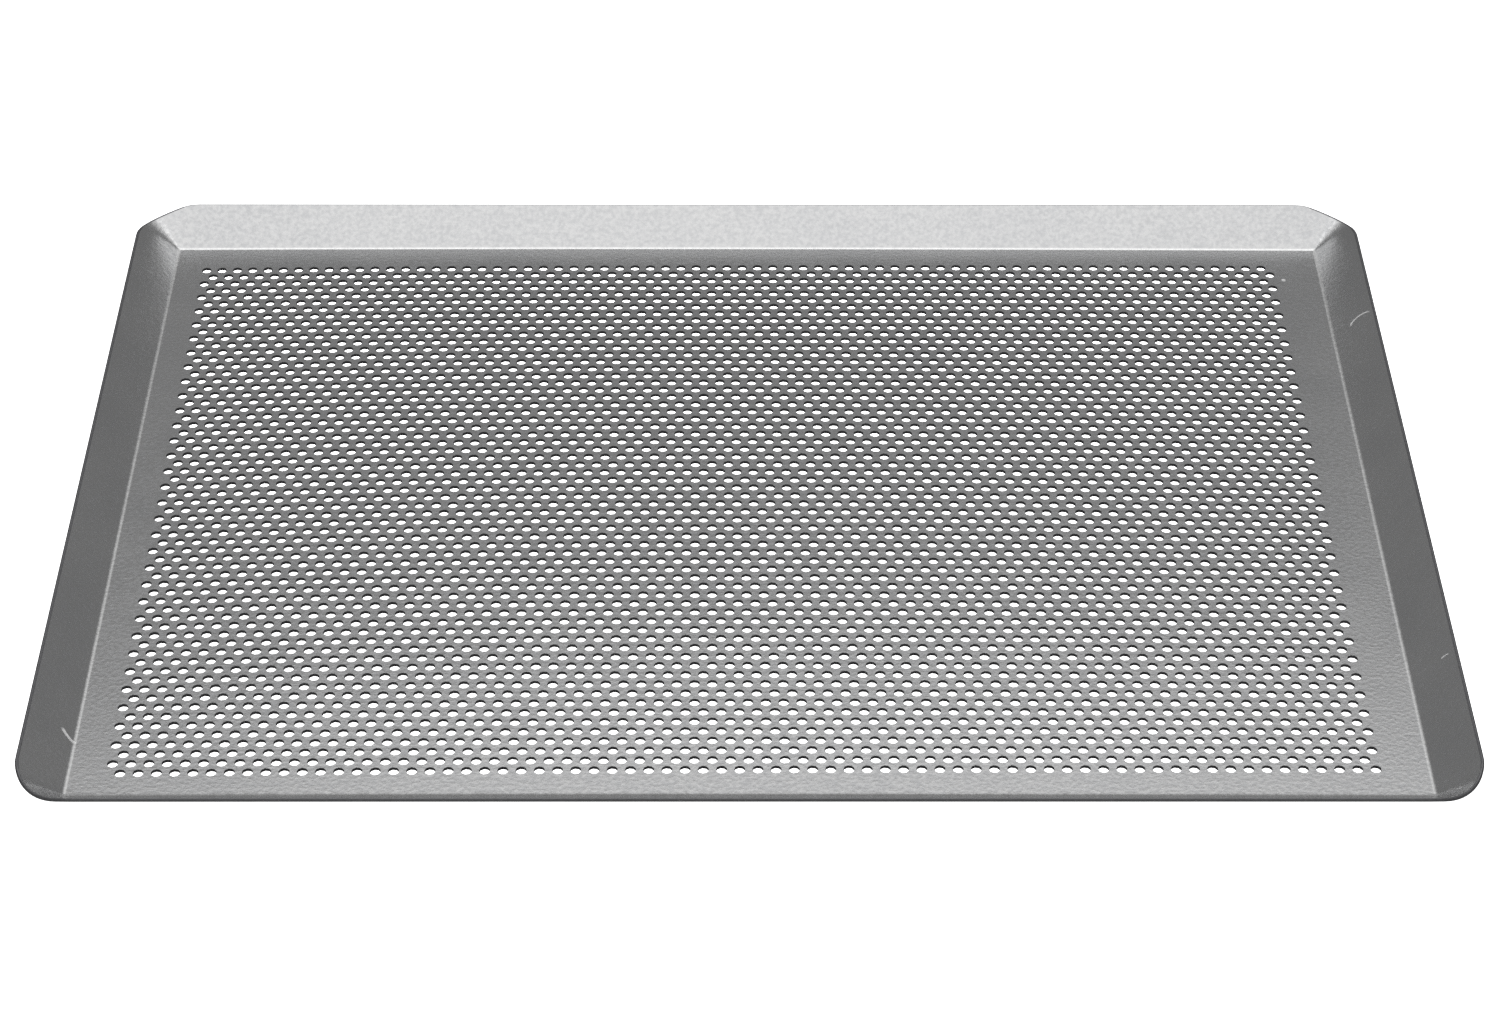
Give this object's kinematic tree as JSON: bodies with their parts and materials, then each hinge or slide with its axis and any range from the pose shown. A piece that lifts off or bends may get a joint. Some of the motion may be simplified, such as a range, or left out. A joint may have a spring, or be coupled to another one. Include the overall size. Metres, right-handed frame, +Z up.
{
  "type": "perforated baking tray",
  "caption": "Flat rectangular baking tray pressed from one perforated metal sheet, with a low flared rim on every side.",
  "frame": {"origin": "middle of the underside of the base", "axes": "+X along the long side, +Y to the back, +Z up out of the tray"},
  "size_m": [0.4, 0.3, 0.011],
  "materials": {
    "tray_aluminium": "satin grey mill finish with a fine grain"
  },
  "bodies": {
    "root": {"tray_sheet": "tray_aluminium"}
  },
  "joints": []
}
